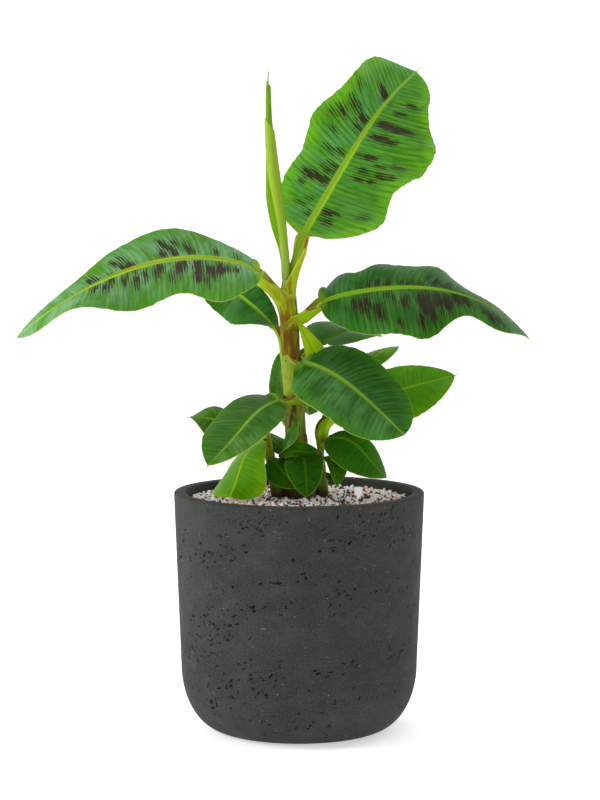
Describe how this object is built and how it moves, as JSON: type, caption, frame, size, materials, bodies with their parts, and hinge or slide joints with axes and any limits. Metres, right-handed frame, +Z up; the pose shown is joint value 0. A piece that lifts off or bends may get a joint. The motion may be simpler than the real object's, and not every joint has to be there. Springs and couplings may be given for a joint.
{
  "type": "potted banana plant",
  "caption": "Young banana plant with broad arching leaves, a rolled spear and basal suckers, in a round charcoal planter topped with grit.",
  "frame": {"origin": "centre of the pot's flat underside", "axes": "+Z up, -Y towards the front, +X to the right seen from the front"},
  "size_m": [0.6845, 0.34, 0.9178],
  "materials": {
    "pot": "matt pitted fibre concrete",
    "grit": "coarse mixed grit",
    "label": "satin",
    "stem": "smooth waxy sheaths",
    "young_leaf": "waxy",
    "leaf": "waxy"
  },
  "bodies": {
    "root": {"pot": "pot", "grit_bed": "grit", "plant_label": "label", "pseudostem": "stem", "right_sucker_stem": "stem", "left_sucker_stem": "stem", "rolled_spear_leaf": "young_leaf", "crown_leaf": "leaf", "left_arch_leaf": "leaf", "pale_leaf": "young_leaf", "right_arch_leaf": "leaf", "front_right_leaf": "leaf", "front_left_leaf": "leaf", "back_left_leaf": "leaf", "back_right_leaf": "leaf", "low_back_leaf": "leaf", "rear_leaf": "leaf", "left_upright_leaf": "leaf", "low_left_leaf": "leaf", "low_front_leaf": "leaf", "right_sucker_far_leaf": "leaf", "right_sucker_back_leaf": "leaf", "right_sucker_low_leaf": "leaf", "right_sucker_arch_leaf": "leaf", "right_sucker_small_leaf": "leaf", "right_sucker_foot_leaf": "leaf", "left_sucker_far_leaf": "leaf", "left_sucker_pale_leaf": "young_leaf", "left_sucker_low_leaf": "leaf", "left_sucker_upright_leaf": "leaf", "left_sucker_rear_leaf": "leaf"}
  },
  "joints": []
}
